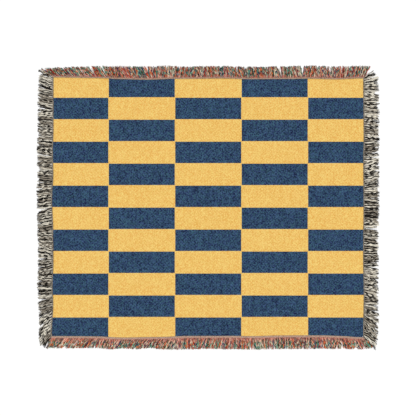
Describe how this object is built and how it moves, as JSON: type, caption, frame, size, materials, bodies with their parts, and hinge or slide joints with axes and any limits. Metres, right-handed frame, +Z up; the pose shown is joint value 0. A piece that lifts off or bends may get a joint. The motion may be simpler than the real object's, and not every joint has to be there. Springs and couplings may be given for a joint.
{
  "type": "woven blanket",
  "caption": "Flat woven throw blanket in two-colour checks, with a yarn fringe along all four edges, lying spread out on a surface.",
  "frame": {"origin": "on the surface it lies on, under the middle of the box of the whole throw, fringe included", "axes": "+Z up out of the cloth's face, +X along the weft and the long side, +Y along the warp, towards the upper fringe of the picture"},
  "size_m": [1.5234, 1.2638, 0.0032],
  "materials": {
    "woven_cloth": "matt cotton jacquard cloth in mustard yellow and navy blue checks",
    "warp_fringe": "loose twisted cotton warp ends in brick red, dusty pink, green, navy, black and ecru",
    "weft_fringe": "loose twisted cotton weft ends in charcoal black and ecru"
  },
  "bodies": {
    "root": {"woven_cloth": "woven_cloth", "fringe_upper": "warp_fringe", "fringe_lower": "warp_fringe", "fringe_left": "weft_fringe", "fringe_right": "weft_fringe"}
  },
  "joints": []
}
